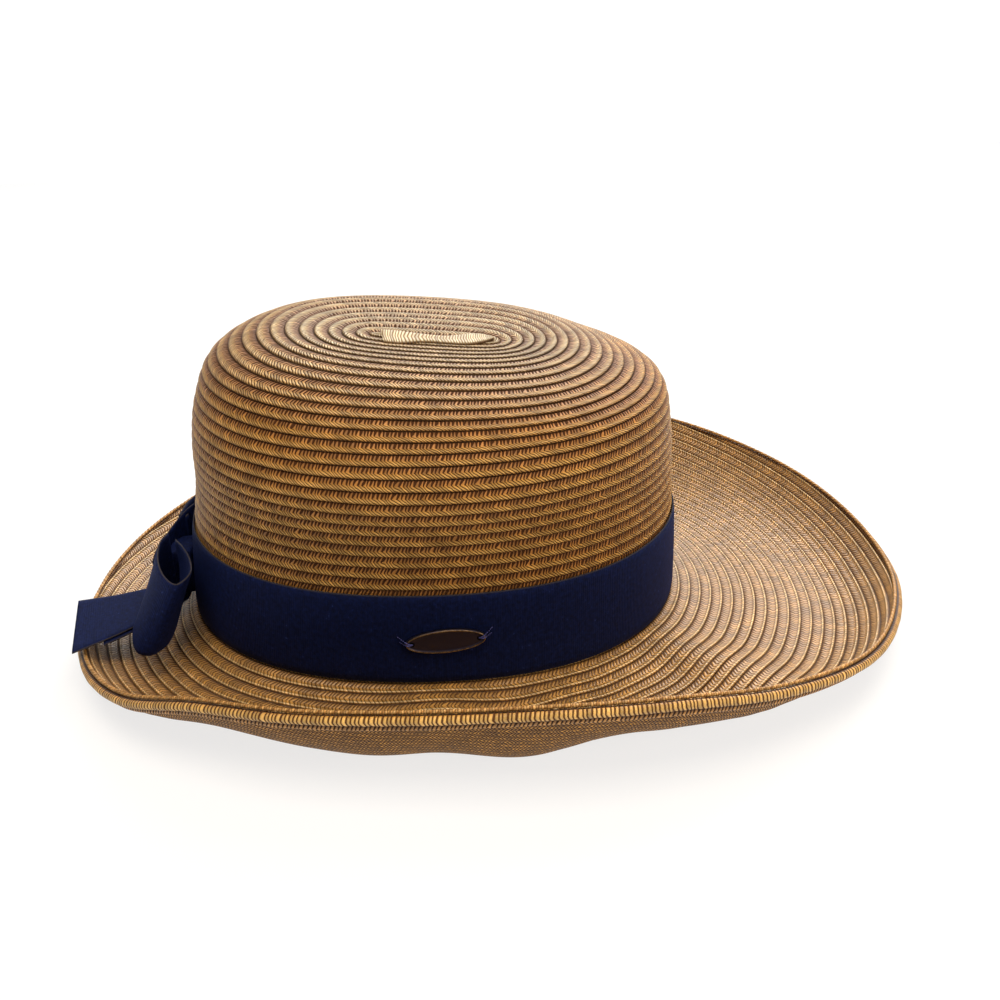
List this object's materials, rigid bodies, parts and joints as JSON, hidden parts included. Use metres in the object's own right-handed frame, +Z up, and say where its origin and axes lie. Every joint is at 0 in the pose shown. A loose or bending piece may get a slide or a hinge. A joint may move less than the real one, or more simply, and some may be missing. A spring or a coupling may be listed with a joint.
{
  "type": "wide-brim sun hat",
  "caption": "Rounded-crown sun hat of sewn straw braid with a wide wavy brim, a dark ribbon band with a bow and tails, and a small blank oval plate at the side.",
  "frame": {"origin": "centre of the hat's footprint, at the level it rests on", "axes": "+X towards the front, where the brim is widest; +Z up; -Y is the side with the plate"},
  "size_m": [0.3486, 0.2948, 0.1286],
  "materials": {
    "straw_braid": "golden tan paper-straw braid, slightly glossy, sewn in rows",
    "grosgrain_ribbon": "dark navy ribbed ribbon",
    "antique_metal": "dark antique finish, worn bright on the raised rim"
  },
  "bodies": {
    "root": {"crown_tip": "straw_braid", "crown_wall": "straw_braid", "brim": "straw_braid", "edge_binding": "straw_braid", "hat_band": "grosgrain_ribbon", "bow_loop_near": "grosgrain_ribbon", "bow_loop_far": "grosgrain_ribbon", "bow_tail_top": "grosgrain_ribbon", "bow_tail_under": "grosgrain_ribbon", "bow_knot": "grosgrain_ribbon", "oval_plate": "antique_metal"}
  },
  "joints": []
}
